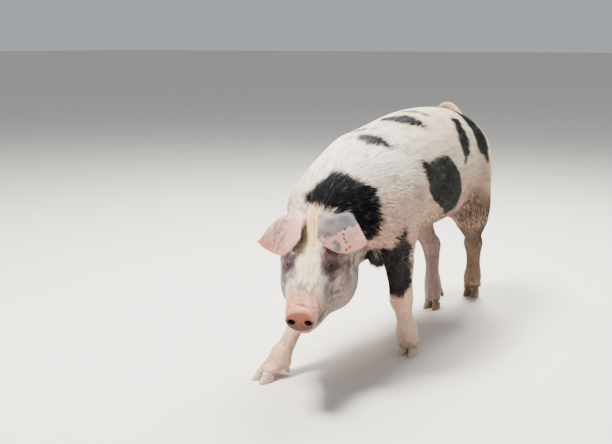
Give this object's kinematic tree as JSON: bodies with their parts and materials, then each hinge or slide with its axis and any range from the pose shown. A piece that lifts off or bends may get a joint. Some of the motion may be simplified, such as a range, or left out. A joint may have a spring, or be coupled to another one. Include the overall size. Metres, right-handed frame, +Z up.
{
  "type": "pig",
  "caption": "Spotted domestic pig walking slowly with its head low, life size and still, standing on its claws.",
  "frame": {"origin": "on the floor, under the middle of the box around the pig", "axes": "the pig faces -Y, its left side is +X, +Z is up"},
  "size_m": [0.3546, 1.1926, 0.6878],
  "materials": {
    "hide_trunk": "skin with a thin coat of flat bristle hair",
    "hide_neck": "skin with a thin coat of flat bristle hair",
    "hide_head": "skin with a thin coat of flat bristle hair",
    "hide_ear_left": "skin with a thin coat of flat bristle hair",
    "hide_ear_right": "skin with a thin coat of flat bristle hair",
    "eye": "wet gloss, dark brown",
    "hide_tail": "skin with a thin coat of flat bristle hair",
    "hide_foreleg_left": "skin with a thin coat of flat bristle hair",
    "hide_foreleg_right": "skin with a thin coat of flat bristle hair",
    "hide_hindleg_left": "skin with a thin coat of flat bristle hair",
    "hide_hindleg_right": "skin with a thin coat of flat bristle hair",
    "horn": "dull horn, dusty"
  },
  "bodies": {
    "root": {"trunk": "hide_trunk", "neck": "hide_neck", "head": "hide_head", "tail": "hide_tail", "ear_left": "hide_ear_left", "ear_right": "hide_ear_right", "foreleg_left": "hide_foreleg_left", "foreleg_right": "hide_foreleg_right", "hindleg_left": "hide_hindleg_left", "hindleg_right": "hide_hindleg_right", "eye_left": "eye", "eye_right": "eye", "claw_fore_left_inner": "horn", "dewclaw_fore_left_inner": "horn", "claw_fore_left_outer": "horn", "dewclaw_fore_left_outer": "horn", "claw_fore_right_inner": "horn", "dewclaw_fore_right_inner": "horn", "claw_fore_right_outer": "horn", "dewclaw_fore_right_outer": "horn", "claw_hind_left_inner": "horn", "dewclaw_hind_left_inner": "horn", "claw_hind_left_outer": "horn", "dewclaw_hind_left_outer": "horn", "claw_hind_right_inner": "horn", "dewclaw_hind_right_inner": "horn", "claw_hind_right_outer": "horn", "dewclaw_hind_right_outer": "horn"}
  },
  "joints": []
}
